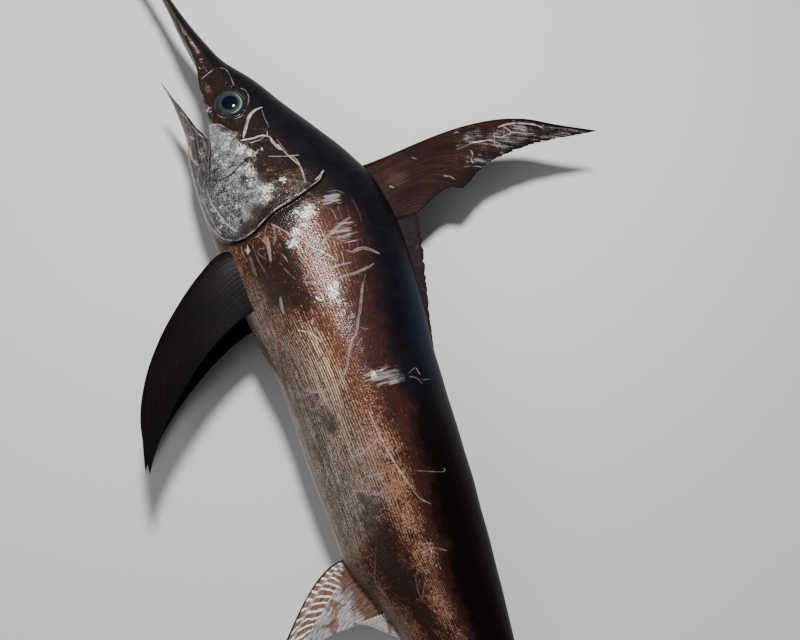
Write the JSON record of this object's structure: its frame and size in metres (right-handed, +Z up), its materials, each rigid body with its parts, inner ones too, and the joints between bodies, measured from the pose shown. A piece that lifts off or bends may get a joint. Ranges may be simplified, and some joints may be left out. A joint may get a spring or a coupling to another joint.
{
  "type": "swordfish",
  "caption": "Life-size swordfish lying on its right flank: long flat bill, open jaws, high crescent dorsal fin, swept pectoral fins, keeled tail stalk and crescent tail.",
  "frame": {"origin": "middle of the bounding box in plan, on the floor that the right flank rests on", "axes": "+X from the head to the tail, +Y to the back, +Z up to the left flank"},
  "size_m": [2.134, 0.9772, 0.2],
  "materials": {
    "skin": "wet scaleless hide: blue-black back, bronze-brown flank, mottled silver cheek and belly, fine scratches",
    "bill": "smooth dark bony blade, satin, paler below",
    "fin": "smooth near-black fins with fine rays, satin, brown towards the roots",
    "eye": "wet domed cornea over a dark blue pupil and a grey-green ring"
  },
  "bodies": {
    "root": {"bill": "bill", "head": "skin", "lower_jaw": "skin", "gill_cover_left": "skin", "gill_cover_right": "skin", "eye_left": "eye", "eye_right": "eye", "torso_front": "skin", "torso_middle": "skin", "torso_rear": "skin", "tail_stalk": "skin", "dorsal_fin_first": "fin", "dorsal_fin_low": "fin", "dorsal_fin_second": "fin", "anal_fin_first": "fin", "anal_fin_low": "fin", "anal_fin_second": "fin", "pectoral_fin_left": "fin", "pectoral_fin_right": "fin", "tail_fin_upper": "fin", "tail_fin_lower": "fin"}
  },
  "joints": []
}
